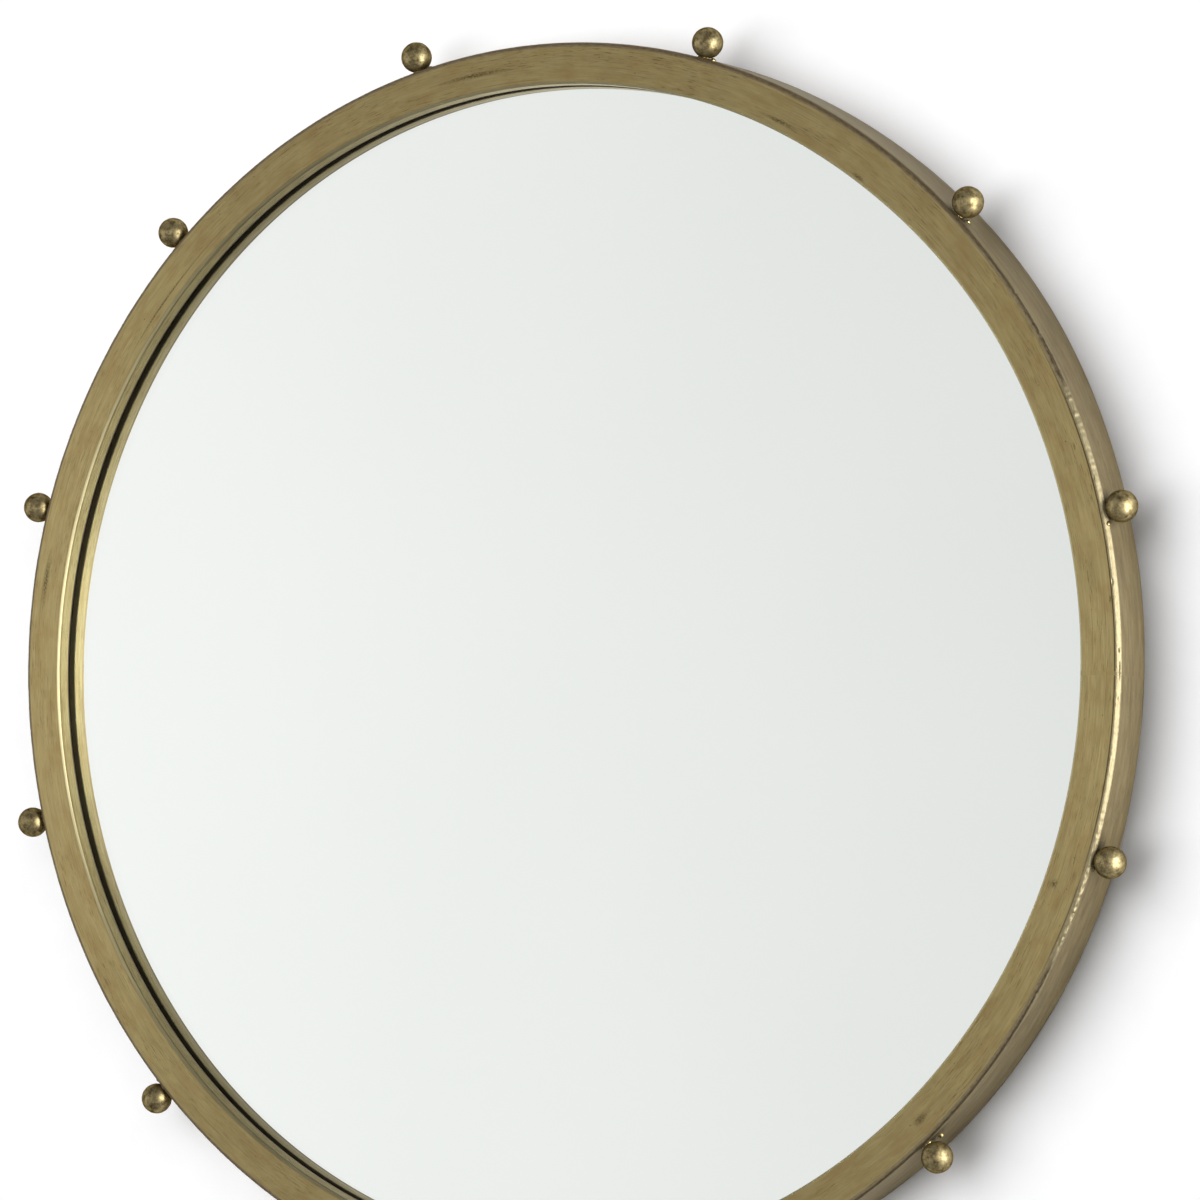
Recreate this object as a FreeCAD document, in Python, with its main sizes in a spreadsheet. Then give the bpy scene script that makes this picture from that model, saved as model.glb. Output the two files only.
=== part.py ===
import FreeCAD, Part
import os
import Sketcher

# Round wall mirror: flat bars rolled to rings and welded at the corner, twelve balls brazed round the side,
# a glass with a backing board clipped in from behind, and two swinging rings to hang it by.
# Every piece is drawn from the front plane backwards, about the mirror's own axis, and then stands with the
# back rim on the wall plane y = 0, the axis along Y and the glass facing -Y.

# Driving sizes: millimetres, degrees and counts
SIZES = {
    # rolled bars of the frame
    "ring_radius": 381.0,
    "frame_depth": 38.0,
    "face_width": 25.0,
    "bar_thickness": 3.0,
    "face_edge_round": 2.5,
    "lip_width": 8.0,
    "lip_thickness": 2.0,
    "weld_width": 2.5,
    # glass and what holds it
    "tape_thickness": 1.0,
    "tape_width": 4.0,
    "glass_thickness": 5.0,
    "glass_overlap": 5.0,
    "glass_arris": 0.8,
    "board_thickness": 9.0,
    # balls on the side band
    "ball_count": 12,
    "ball_diameter": 19.05,
    "ball_setback": 5.6,
    "ball_foot": 9.0,
    "bead_diameter": 10.5,
    "bead_edge": 0.3,
    # degrees by which balls that were set by hand stand off their even step
    "ball_01_drift": -0.5,
    "ball_04_drift": 0.3,
    "ball_05_drift": 0.8,
    "ball_06_drift": 0.5,
    "ball_07_drift": 0.5,
    "ball_11_drift": -1.4,
    "ball_12_drift": -1.0,
    # clips on welded studs
    "clip_count": 8,
    "clip_length": 26.0,
    "clip_width": 12.0,
    "clip_thickness": 2.0,
    "clip_gap": 1.0,
    "clip_hole_clearance": 0.25,
    "stud_diameter": 5.0,
    "stud_projection": 2.0,
    "spacer_diameter": 8.0,
    "spacer_clearance": 0.25,
    "nut_flats": 8.0,
    "nut_height": 4.0,
    # hanging rings
    "hanger_spacing": 400.0,
    "hanger_height": 180.0,
    "strap_width": 16.0,
    "strap_length": 55.0,
    "strap_thickness": 1.8,
    "hanger_wire": 4.0,
    "hanger_eye": 22.0,
    "hanger_leg": 7.0,
    "hanger_bend": 4.0,
    "hanger_clearance": 0.1,
    "hanger_lean": 1.0,
    "screw_diameter": 3.5,
    "countersink_depth": 1.3,
    "screw_length": 8.0,
    "screw_tip": 2.5,
    "first_screw": 11.0,
    "screw_spacing": 28.0,
}

doc = FreeCAD.newDocument("RoundMirror")
dims = doc.addObject("Spreadsheet::Sheet", "Dims")
for row, (alias, value) in enumerate(SIZES.items(), start=1):
    dims.set(f"A{row}", alias)
    dims.set(f"B{row}", str(value))
    dims.setAlias(f"B{row}", alias)
doc.recompute()

# Radii about the mirror's axis
RING = "Dims.ring_radius"
BAND_INSIDE = "(Dims.ring_radius - Dims.bar_thickness)"
FACE_INSIDE = "(Dims.ring_radius - Dims.face_width)"
GLASS_RADIUS = f"({FACE_INSIDE} + Dims.glass_overlap)"
STUD_CIRCLE = f"(({GLASS_RADIUS} + {BAND_INSIDE}) / 2)"
BALL_RADIUS = "(Dims.ball_diameter / 2)"
BALL_CENTRE = f"({RING} + {BALL_RADIUS})"
BALL_SEAT = f"({BALL_CENTRE} - sqrt({BALL_RADIUS} ^ 2 - (Dims.ball_foot / 2) ^ 2))"

# Depths behind the front plane
BAR_BACK = "Dims.bar_thickness"
LIP_BACK = f"({BAR_BACK} + Dims.lip_width)"
GLASS_FRONT = f"({LIP_BACK} + Dims.tape_thickness)"
GLASS_BACK = f"({GLASS_FRONT} + Dims.glass_thickness)"
BOARD_BACK = f"({GLASS_BACK} + Dims.board_thickness)"
CLIP_BACK = f"({BOARD_BACK} + Dims.clip_thickness)"
NUT_BACK = f"({CLIP_BACK} + Dims.nut_height)"
STUD_END = f"({NUT_BACK} + Dims.stud_projection)"
STRAP_BACK = f"({BOARD_BACK} + Dims.strap_thickness)"
WALL = "Dims.frame_depth"

# The loop that a strap curls into, and the screw through it
LOOP_INSIDE = "(Dims.hanger_wire / 2 + Dims.hanger_clearance)"
LOOP_OUTSIDE = f"({LOOP_INSIDE} + Dims.strap_thickness)"
HINGE = f"({STRAP_BACK} + {LOOP_INSIDE})"
SCREW_RADIUS = "(Dims.screw_diameter / 2)"
HEAD_RADIUS = f"({SCREW_RADIUS} + Dims.countersink_depth)"
HEAD_FRONT = f"({STRAP_BACK} - Dims.countersink_depth)"
SCREW_DEPTH = "(Dims.screw_length - Dims.strap_thickness)"

WELD_ANGLE = f"(Dims.weld_width / {RING} * 180 / pi)"
SWING_AXIS = (0, -1, 0)
HORIZONTAL = -1
VERTICAL = -2
START, END, CENTRE = 1, 2, 3

subparts = []


def number(expression):
    return float(dims.evalExpression(expression))


def placing(shift, axis, turn):
    """A place as an expression: a shift along x, y and z after a turn about an axis."""
    spot = "create(<<vector>>; {}; {}; {})".format(*shift)
    spin = "create(<<rotation>>; create(<<vector>>; {}; {}; {}); {})".format(*axis, turn)
    return f"create(<<placement>>; {spot}; {spin})"


def add_body(label, turn="0", axis=(0, 1, 0), shift=("0", "0", "0")):
    """A sub-part, turned about an axis, set off by shift and stood with the wall plane at y = 0."""
    body = doc.addObject("PartDesign::Body", label)
    body.Label = label
    along, back, up = shift
    body.setExpression("Placement", placing((along, f"{back} - {WALL}", up), axis, turn))
    subparts.append(body)
    return body


def origin_feature(body, role):
    return next(item for item in body.Origin.OriginFeatures if item.Role == role)


def add_sketch(body, plane, across="0", up="0", out="0", swing="0"):
    """A sketch on one of the body's own planes, its origin moved within and out of that plane.
    It may swing about its upright axis, its across axis going out of the plane."""
    sketch = body.newObject("Sketcher::SketchObject", body.Label + "_sketch")
    sketch.AttachmentSupport = (origin_feature(body, plane), [""])
    sketch.MapMode = "FlatFace"
    sketch.setExpression("AttachmentOffset", placing((across, up, out), SWING_AXIS, swing))
    return sketch


def depth_sketch(body, depth):
    """A sketch square to the mirror's axis, at a depth behind the front plane."""
    return add_sketch(body, "XZ_Plane", out=f"-{depth}")


def tie(sketch, kind, geometry, point, expression):
    """Hold one coordinate of a sketch point to the sheet, or to an axis where it is zero."""
    if expression == "0":
        axis = VERTICAL if kind == "DistanceX" else HORIZONTAL
        sketch.addConstraint(Sketcher.Constraint("PointOnObject", geometry, point, axis))
        return
    value = number(expression)
    index = sketch.addConstraint(Sketcher.Constraint(kind, HORIZONTAL, START, geometry, point, value))
    sketch.setExpression(f"Constraints[{index}]", expression)


def arc_about(centre, first, last):
    radius = (first - centre).Length
    angles = [FreeCAD.Vector(1, 0, 0).getAngle(spot - centre) for spot in (first, last)]
    signed = [angle if spot.y >= centre.y else -angle for angle, spot in zip(angles, (first, last))]
    circle = Part.Circle(centre, FreeCAD.Vector(0, 0, 1), radius)
    return Part.ArcOfCircle(circle, signed[0], signed[1])


def draw_loop(sketch, corners):
    """A closed outline through corners (x, y). A corner with a bend (x, y, centre_x, centre_y, turn)
    runs to the next one on an arc about that centre, "left" being anticlockwise."""
    spots = [FreeCAD.Vector(number(corner[0]), number(corner[1]), 0) for corner in corners]
    ends = []
    for corner, here, there in zip(corners, spots, spots[1:] + spots[:1]):
        if len(corner) == 2:
            side = sketch.addGeometry(Part.LineSegment(here, there), False)
            ends.append((side, START, END))
            continue
        centre = FreeCAD.Vector(number(corner[2]), number(corner[3]), 0)
        if corner[4] == "left":
            side = sketch.addGeometry(arc_about(centre, here, there), False)
            ends.append((side, START, END))
        else:
            side = sketch.addGeometry(arc_about(centre, there, here), False)
            ends.append((side, END, START))
    for (side, _, last), (following, first, _) in zip(ends, ends[1:] + ends[:1]):
        sketch.addConstraint(Sketcher.Constraint("Coincident", side, last, following, first))
    for corner, (side, first, _), here, there in zip(corners, ends, spots, spots[1:] + spots[:1]):
        tie(sketch, "DistanceX", side, first, corner[0])
        tie(sketch, "DistanceY", side, first, corner[1])
        if len(corner) > 2:
            chord = there - here
            if abs(chord.x) > abs(chord.y):
                tie(sketch, "DistanceY", side, CENTRE, corner[3])
            else:
                tie(sketch, "DistanceX", side, CENTRE, corner[2])


def draw_circle(sketch, across, up, radius):
    centre = FreeCAD.Vector(number(across), number(up), 0)
    size = number(radius)
    circle = sketch.addGeometry(Part.Circle(centre, FreeCAD.Vector(0, 0, 1), size), False)
    tie(sketch, "DistanceX", circle, CENTRE, across)
    tie(sketch, "DistanceY", circle, CENTRE, up)
    index = sketch.addConstraint(Sketcher.Constraint("Radius", circle, size))
    sketch.setExpression(f"Constraints[{index}]", radius)


def spin_feature(body, kind, sketch, axis, angle="360"):
    """A Revolution or a Groove of a sketch about its own H_Axis or V_Axis."""
    feature = body.newObject(f"PartDesign::{kind}", body.Label + "_spin")
    feature.Profile = sketch
    feature.ReferenceAxis = (sketch, [axis])
    feature.setExpression("Angle", angle)
    return feature


def pad_back(body, sketch, length):
    """Grow a depth sketch towards the wall."""
    pad = body.newObject("PartDesign::Pad", body.Label + "_pad")
    pad.Profile = sketch
    pad.Reversed = True
    pad.setExpression("Length", length)
    return pad


def repeat_round(body, feature, count):
    """Equal copies of a feature round the mirror's axis."""
    pattern = body.newObject("PartDesign::PolarPattern", body.Label + "_pattern")
    pattern.Originals = [feature]
    pattern.Axis = (origin_feature(body, "Y_Axis"), [""])
    pattern.Angle = 360
    pattern.setExpression("Occurrences", count)
    body.Tip = pattern
    return pattern


def ring_piece(label, corners, angle="360", backwards=False):
    """A section (radius, depth) turned about the mirror's axis, all the way round or part of it,
    with one face for each side of the section."""
    body = add_body(label)
    sketch = add_sketch(body, "XY_Plane")
    draw_loop(sketch, corners)
    turned = spin_feature(body, "Revolution", sketch, "V_Axis", angle)
    turned.Reversed = backwards
    turned.Refine = False
    return body


def rolled_bar(bar, weld, corners):
    """A bar or a bead of braze that runs round to an open ring, and the weld that closes its two ends."""
    ring_piece(bar, corners, f"360 - {WELD_ANGLE}")
    ring_piece(weld, corners, WELD_ANGLE, backwards=True)


def box_section(inside, outside, front, back):
    return [(inside, front), (outside, front), (outside, back), (inside, back)]


# The face: a flat bar rolled on edge, its inner front edge eased
EASED_RADIUS = f"({FACE_INSIDE} + Dims.face_edge_round)"
rolled_bar("face_ring", "face_weld", [
    (EASED_RADIUS, "0"),
    (BAND_INSIDE, "0"),
    (BAND_INSIDE, BAR_BACK),
    (FACE_INSIDE, BAR_BACK),
    (FACE_INSIDE, "Dims.face_edge_round", EASED_RADIUS, "Dims.face_edge_round", "left"),
])

# The side: a flat bar rolled on its broad face, standing behind the face's rim
rolled_bar("side_band", "band_weld", box_section(BAND_INSIDE, RING, BAR_BACK, WALL))

# The outer corner is dressed to a quarter round, in three equal strokes from the front plane to the side
CORNER_ROUND = [(BAND_INSIDE, "0", BAND_INSIDE, BAR_BACK, "left")]
for stroke_angle in (30, 60):
    CORNER_ROUND.append((
        f"({BAND_INSIDE} + Dims.bar_thickness * sin({stroke_angle}))",
        f"({BAR_BACK} - Dims.bar_thickness * cos({stroke_angle}))",
        BAND_INSIDE, BAR_BACK, "left"))

# Braze metal that fills the open corner between the two bars, laid in one run and closed by a short stop
rolled_bar("corner_seam", "seam_stop", CORNER_ROUND + [(RING, BAR_BACK), (BAND_INSIDE, BAR_BACK)])

# The lip: a narrow strip behind the face's inner edge, which the glass is pressed against
rolled_bar("inner_lip", "lip_weld", box_section(
    FACE_INSIDE, f"{FACE_INSIDE} + Dims.lip_thickness", BAR_BACK, LIP_BACK))

# Black glazing tape between the lip and the glass
ring_piece("glazing_tape", box_section(
    FACE_INSIDE, f"{FACE_INSIDE} + Dims.tape_width", LIP_BACK, GLASS_FRONT))

# Silvered float glass with ground arrises
ARRIS_RADIUS = f"({GLASS_RADIUS} - Dims.glass_arris)"
ring_piece("mirror_glass", [
    ("0", GLASS_FRONT),
    (ARRIS_RADIUS, GLASS_FRONT),
    (GLASS_RADIUS, f"{GLASS_FRONT} + Dims.glass_arris"),
    (GLASS_RADIUS, f"{GLASS_BACK} - Dims.glass_arris"),
    (ARRIS_RADIUS, GLASS_BACK),
    ("0", GLASS_BACK),
])

# Where the hanger screws stand: across from the middle, and up from it
SCREW_PLACES = [
    (f"{side} * Dims.hanger_spacing / 2",
     f"Dims.hanger_height - Dims.first_screw - {step} * Dims.screw_spacing")
    for side in (-1, 1)
    for step in (0, 1)
]

# Backing board, with a pilot hole for each hanger screw
board = add_body("backing_board")
board_face = depth_sketch(board, GLASS_BACK)
draw_circle(board_face, "0", "0", GLASS_RADIUS)
pad_back(board, board_face, "Dims.board_thickness")
pilot_holes = depth_sketch(board, BOARD_BACK)
for across, up in SCREW_PLACES:
    draw_circle(pilot_holes, across, up, SCREW_RADIUS)
pilots = board.newObject("PartDesign::Pocket", "pilots")
pilots.Profile = pilot_holes
pilots.Reversed = True
pilots.setExpression("Length", SCREW_DEPTH)


def clip_row(label):
    """A body turned half a step, so that the clips straddle the level through the middle."""
    return add_body(label, turn="180 / Dims.clip_count")


def round_stock(label, outside, inside, front, back):
    """Like round pieces on the stud circle, solid or with a hole."""
    body = clip_row(label)
    sketch = depth_sketch(body, front)
    draw_circle(sketch, STUD_CIRCLE, "0", outside)
    if inside:
        draw_circle(sketch, STUD_CIRCLE, "0", inside)
    stock = pad_back(body, sketch, f"{back} - {front}")
    repeat_round(body, stock, "Dims.clip_count")


# Studs welded to the back of the face, and spacer tubes as long as the lip, tape, glass and board together
STUD_RADIUS = "(Dims.stud_diameter / 2)"
round_stock("clip_studs", STUD_RADIUS, None, BAR_BACK, STUD_END)
round_stock("clip_spacers", "Dims.spacer_diameter / 2", f"{STUD_RADIUS} + Dims.spacer_clearance",
            BAR_BACK, BOARD_BACK)

# Flat clips over the board's edge, each on its stud
clips = clip_row("retaining_clips")
clip_face = depth_sketch(clips, BOARD_BACK)
CLIP_OUTER = f"({BAND_INSIDE} - Dims.clip_gap)"
CLIP_INNER = f"({CLIP_OUTER} - Dims.clip_length)"
draw_loop(clip_face, box_section(CLIP_INNER, CLIP_OUTER, "-Dims.clip_width / 2", "Dims.clip_width / 2"))
draw_circle(clip_face, STUD_CIRCLE, "0", f"{STUD_RADIUS} + Dims.clip_hole_clearance")
repeat_round(clips, pad_back(clips, clip_face, "Dims.clip_thickness"), "Dims.clip_count")

# Hexagon nuts on the studs
nuts = clip_row("clip_nuts")
nut_face = depth_sketch(nuts, CLIP_BACK)
HALF_FLATS = "Dims.nut_flats / 2"
POINT = "Dims.nut_flats / sqrt(3)"
draw_loop(nut_face, [
    (f"{STUD_CIRCLE} - {HALF_FLATS}", f"-{POINT} / 2"),
    (STUD_CIRCLE, f"-{POINT}"),
    (f"{STUD_CIRCLE} + {HALF_FLATS}", f"-{POINT} / 2"),
    (f"{STUD_CIRCLE} + {HALF_FLATS}", f"{POINT} / 2"),
    (STUD_CIRCLE, POINT),
    (f"{STUD_CIRCLE} - {HALF_FLATS}", f"{POINT} / 2"),
])
draw_circle(nut_face, STUD_CIRCLE, "0", STUD_RADIUS)
repeat_round(nuts, pad_back(nuts, nut_face, "Dims.nut_height"), "Dims.clip_count")


def ball_turn(place):
    """The angle of a ball above the level through the middle, from the +X side.
    The first stands half a step up, and each is off its step by its drift."""
    drift = f"ball_{place:02d}_drift"
    off_step = f"Dims.{drift}" if drift in SIZES else "0"
    return f"({place} - 0.5) * 360 / Dims.ball_count + {off_step}"


BALL_PLACES = range(1, int(number("Dims.ball_count")) + 1)

# Balls: each turned about its own radius of the ring, with a small flat ground where it is brazed on
for place in BALL_PLACES:
    ball = add_body(f"ball_{place:02d}", turn=ball_turn(place), axis=SWING_AXIS)
    half_ball = add_sketch(ball, "XY_Plane", up="Dims.ball_setback")
    draw_loop(half_ball, [
        (BALL_SEAT, "0"),
        (f"{BALL_CENTRE} + {BALL_RADIUS}", "0", BALL_CENTRE, "0", "left"),
        (BALL_SEAT, "Dims.ball_foot / 2"),
    ])
    spin_feature(ball, "Revolution", half_ball, "H_Axis")

# Braze beads: short cones from the balls' flats down to an edge that stands on the band and its round corner
beads = add_body("braze_beads")
for place in BALL_PLACES:
    half_bead = add_sketch(beads, "XY_Plane", up="Dims.ball_setback", swing=ball_turn(place))
    draw_loop(half_bead, [
        (BAND_INSIDE, "0"),
        (BALL_SEAT, "0"),
        (BALL_SEAT, "Dims.ball_foot / 2"),
        (f"{RING} + Dims.bead_edge", "Dims.bead_diameter / 2"),
        (BAND_INSIDE, "Dims.bead_diameter / 2"),
    ])
    spin_feature(beads, "Revolution", half_bead, "H_Axis")
frame_outside = add_sketch(beads, "XY_Plane")
draw_loop(frame_outside, [("0", "0"), *CORNER_ROUND, (RING, BAR_BACK), (RING, WALL), ("0", WALL)])
spin_feature(beads, "Groove", frame_outside, "V_Axis")

# The half section that a countersunk screw fills in the strap
COUNTERSINK = [
    (BOARD_BACK, "0"),
    (BOARD_BACK, SCREW_RADIUS),
    (HEAD_FRONT, SCREW_RADIUS),
    (STRAP_BACK, HEAD_RADIUS),
    (STRAP_BACK, "0"),
]


def hanger_plate(label, side):
    """A strap flat on the board, its top end curled forward round the hanging ring's bar."""
    body = add_body(label, shift=(f"{side} * Dims.hanger_spacing / 2", "0", "Dims.hanger_height"))
    profile = add_sketch(body, "YZ_Plane")
    draw_loop(profile, [
        (BOARD_BACK, "-Dims.strap_length"),
        (STRAP_BACK, "-Dims.strap_length"),
        (STRAP_BACK, "0", HINGE, "0", "right"),
        (HINGE, f"-{LOOP_INSIDE}"),
        (HINGE, f"-{LOOP_OUTSIDE}", HINGE, "0", "left"),
        (BOARD_BACK, "0"),
    ])
    strap = body.newObject("PartDesign::Pad", label + "_strap")
    strap.Profile = profile
    strap.SideType = "Symmetric"
    strap.setExpression("Length", "Dims.strap_width")
    for step in (0, 1):
        section = add_sketch(body, "YZ_Plane", up=f"-Dims.first_screw - {step} * Dims.screw_spacing")
        draw_loop(section, COUNTERSINK)
        spin_feature(body, "Groove", section, "H_Axis")


def hanger_ring(label, side):
    """A ring of bent wire hanging from its straight bar, leaning clear of the strap."""
    body = add_body(label, turn="Dims.hanger_lean", axis=(1, 0, 0),
                    shift=(f"{side} * Dims.hanger_spacing / 2", HINGE, "Dims.hanger_height"))
    half = "(Dims.hanger_eye / 2 + Dims.hanger_wire / 2)"
    bend = "Dims.hanger_bend"
    path = add_sketch(body, "XZ_Plane")
    draw_loop(path, [
        ("0", "0"),
        (f"{half} - {bend}", "0", f"{half} - {bend}", f"-{bend}", "right"),
        (half, f"-{bend}"),
        (half, "-Dims.hanger_leg", "0", "-Dims.hanger_leg", "right"),
        (f"-{half}", "-Dims.hanger_leg"),
        (f"-{half}", f"-{bend}", f"-({half} - {bend})", f"-{bend}", "right"),
        (f"-({half} - {bend})", "0"),
    ])
    section = add_sketch(body, "YZ_Plane")
    draw_circle(section, "0", "0", "Dims.hanger_wire / 2")
    wire = body.newObject("PartDesign::AdditivePipe", label + "_wire")
    wire.Profile = section
    wire.Spine = (path, [""])


for label_end, side in (("left", -1), ("right", 1)):
    hanger_plate(f"hanger_plate_{label_end}", side)
    hanger_ring(f"hanger_ring_{label_end}", side)

# Countersunk wood screws through the straps into the board
screws = add_body("hanger_screws")
for across, up in SCREW_PLACES:
    section = add_sketch(screws, "YZ_Plane", up=up, out=across)
    draw_loop(section, [
        (f"{STRAP_BACK} - Dims.screw_length", "0"),
        (f"{STRAP_BACK} - Dims.screw_length + Dims.screw_tip", SCREW_RADIUS),
        (HEAD_FRONT, SCREW_RADIUS),
        (STRAP_BACK, HEAD_RADIUS),
        (STRAP_BACK, "0"),
    ])
    spin_feature(screws, "Revolution", section, "H_Axis")

doc.recompute()

# Nothing is written unless every feature and every sub-part came out sound
failed = [item.Label for item in doc.Objects if {"Invalid", "Error"} & set(item.State)]
failed += [body.Label for body in subparts if body.Shape.isNull() or not body.Shape.isValid()]
if failed:
    raise RuntimeError("failed: " + ", ".join(failed))

os.makedirs("parts", exist_ok=True)
for body in subparts:
    body.Shape.exportStep(f"parts/{body.Label}.step")
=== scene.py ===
import math

import bpy
from mathutils import Matrix, Vector, noise


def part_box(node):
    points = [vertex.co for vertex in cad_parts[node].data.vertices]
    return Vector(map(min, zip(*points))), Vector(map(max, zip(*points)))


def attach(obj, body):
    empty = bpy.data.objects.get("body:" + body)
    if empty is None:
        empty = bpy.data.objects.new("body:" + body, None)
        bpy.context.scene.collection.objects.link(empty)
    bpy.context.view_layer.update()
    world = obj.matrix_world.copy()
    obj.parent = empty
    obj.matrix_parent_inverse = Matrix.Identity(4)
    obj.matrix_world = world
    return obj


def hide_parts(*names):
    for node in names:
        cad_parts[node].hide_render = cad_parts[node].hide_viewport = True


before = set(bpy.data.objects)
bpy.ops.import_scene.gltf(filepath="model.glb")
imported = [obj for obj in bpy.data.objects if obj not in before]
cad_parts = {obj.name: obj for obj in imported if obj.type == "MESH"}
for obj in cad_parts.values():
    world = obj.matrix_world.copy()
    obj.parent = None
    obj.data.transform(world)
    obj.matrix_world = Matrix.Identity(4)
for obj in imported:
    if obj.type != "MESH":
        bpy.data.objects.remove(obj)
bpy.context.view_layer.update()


# Face ring: a flat bar of brass-plated steel rolled on edge to a hoop, brushed along its run and
# darkened, its inner edge eased by hand. Its two ends are welded together at the right-hand side.
MM = 0.001
FRAME_DEPTH = round(-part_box("face_ring")[0].y / MM, 2)
RING_RADIUS = round(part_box("side_band")[1].x / MM, 2)
FRONT = -FRAME_DEPTH
BAR_THICKNESS = 3.0
SEAM_RADIUS = RING_RADIUS - BAR_THICKNESS
FACE_WIDTH = 25.0
FACE_INSIDE = RING_RADIUS - FACE_WIDTH
WELD_LENGTH = 2.5
WELD_TURN = math.degrees(WELD_LENGTH / RING_RADIUS)
RING_STEPS = 1440
FACE_STEPS = 20
EDGE_WIDTH = 1.4
EDGE_DEPTH = 1.2
EDGE_CROWN = 0.06
EDGE_STEPS = 8
GROOVE_WIDTH = 0.6
GROOVE_DEPTH = 0.4
GROOVE_WALL = 0.1
# how the bars stray off a true circle at the front's inner and outer edge and at the back: waves (times
# round, start in radians, height in mm) and knocks (angle, spread in degrees, height in mm outwards)
INNER_WAVES = [(3, 0.6, 0.25)]
INNER_KNOCKS = [(55, 11, -0.8), (33, 8, 0.4)]
OUTER_WAVES = [(4, 2.1, 0.12), (9, 0.0, 0.1)]
OUTER_KNOCKS = [(196, 15, -0.7), (24, 15, 1.6), (-10, 11, 0.7)]
REAR_KNOCKS = [(36, 14, 1.9), (-7, 9, -0.8)]
# how many degrees of the corner above and below the closing weld are filed in full, and fade out
FILED_ABOVE = (22.0, 12.0)
FILED_BELOW = (9.0, 12.0)
# marks in the patina: angle, place across the bar, length and width in mm
FACE_STAINS = [
    (-19.4, 8.0, 3.6, 2.4), (-45.0, 13.3, 7.0, 3.0), (64.9, 6.5, 16.0, 1.6), (140.8, 6.8, 50.0, 1.0),
    (6.7, 21.0, 3.2, 1.2), (54.7, 3.4, 6.0, 1.6), (99.0, 12.0, 30.0, 2.0), (172.0, 15.0, 22.0, 2.5)]
DULL_STREAK = "6B5A3A"
SCRATCH = "5E4E30"
PIT = "3A2F1E"
STAIN = "3C301C"
PALE_EDGE = "B5AD88"
JOINT_DIRT = "3F331D"
# the seam's dark line is dirt and painted shade
CORNER_DIRT_AND_SHADE = "432F18"


def linear(hex_colour):
    """An sRGB hex colour as linear red, green, blue and alpha."""
    colour = []
    for place in (0, 2, 4):
        share = int(hex_colour[place:place + 2], 16) / 255
        colour.append(share / 12.92 if share <= 0.04045 else ((share + 0.055) / 1.055) ** 2.4)
    return colour + [1.0]


def fill(tree, node, inputs):
    """Gives each named or numbered input of a node a value, or a link from another node's output."""
    for socket, value in inputs.items():
        if isinstance(value, bpy.types.NodeSocket):
            tree.links.new(value, node.inputs[socket])
        else:
            node.inputs[socket].default_value = value


def add_node(tree, kind, inputs=None, out=0, **settings):
    """One output of a new node with its inputs and settings. A map range takes its value, the range it
    comes from and the one it goes to as inputs 0 to 4; a mix takes its share as 0 and its two sides as
    2 and 3, or 6 and 7 for colours."""
    made = tree.nodes.new("ShaderNode" + kind)
    for name, value in settings.items():
        setattr(made, name, value)
    fill(tree, made, inputs or {})
    return made.outputs[out]


def start_material(name):
    """A new material, its tree and its main shader."""
    material = bpy.data.materials.new(name)
    material.use_nodes = True
    return material, material.node_tree, material.node_tree.nodes["Principled BSDF"]


def humps(turn, rows):
    """The height at an angle of smooth humps round the ring."""
    total = 0.0
    for middle, spread, height in rows:
        off = (turn - middle + 180) % 360 - 180
        total += height * math.exp(-(off / spread) ** 2)
    return total


def waves(turn, rows):
    """The height at an angle of even waves round the ring."""
    return sum(height * math.sin(times * math.radians(turn) + start) for times, start, height in rows)


def hand_stray(turn, radius, depth):
    """How far the hand-rolled bars stand off a true circle at an angle, radius and depth, in mm outwards."""
    inner = waves(turn, INNER_WAVES) + humps(turn, INNER_KNOCKS)
    outer = waves(turn, OUTER_WAVES) + humps(turn, OUTER_KNOCKS)
    across = (radius - FACE_INSIDE) / FACE_WIDTH
    front = inner + (outer - inner) * across
    rear = humps(turn, REAR_KNOCKS) * across
    return front + (rear - front) * min(1.0, max(0.0, depth / FRAME_DEPTH))


def ring_point(turn, radius, depth):
    """A point in metres at an angle, radius and depth behind the front plane."""
    angle = math.radians(turn)
    out = (radius + hand_stray(turn, radius, depth)) * MM
    return (out * math.cos(angle), (FRONT + depth) * MM, out * math.sin(angle))


def show(name, points, faces, body, material, sharp=35, uvs=None):
    """A mesh piece, shaded smooth but for its sharp edges, with any texture lengths in metres."""
    mesh = bpy.data.meshes.new(name)
    mesh.from_pydata(points, [], faces)
    if uvs:
        layer = mesh.uv_layers.new(name="lengths")
        for loop in mesh.loops:
            layer.data[loop.index].uv = uvs[loop.index]
    mesh.shade_smooth()
    mesh.set_sharp_from_angle(angle=math.radians(sharp))
    mesh.materials.append(material)
    piece = bpy.data.objects.new(name, mesh)
    bpy.context.scene.collection.objects.link(piece)
    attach(piece, body)
    return piece


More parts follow.
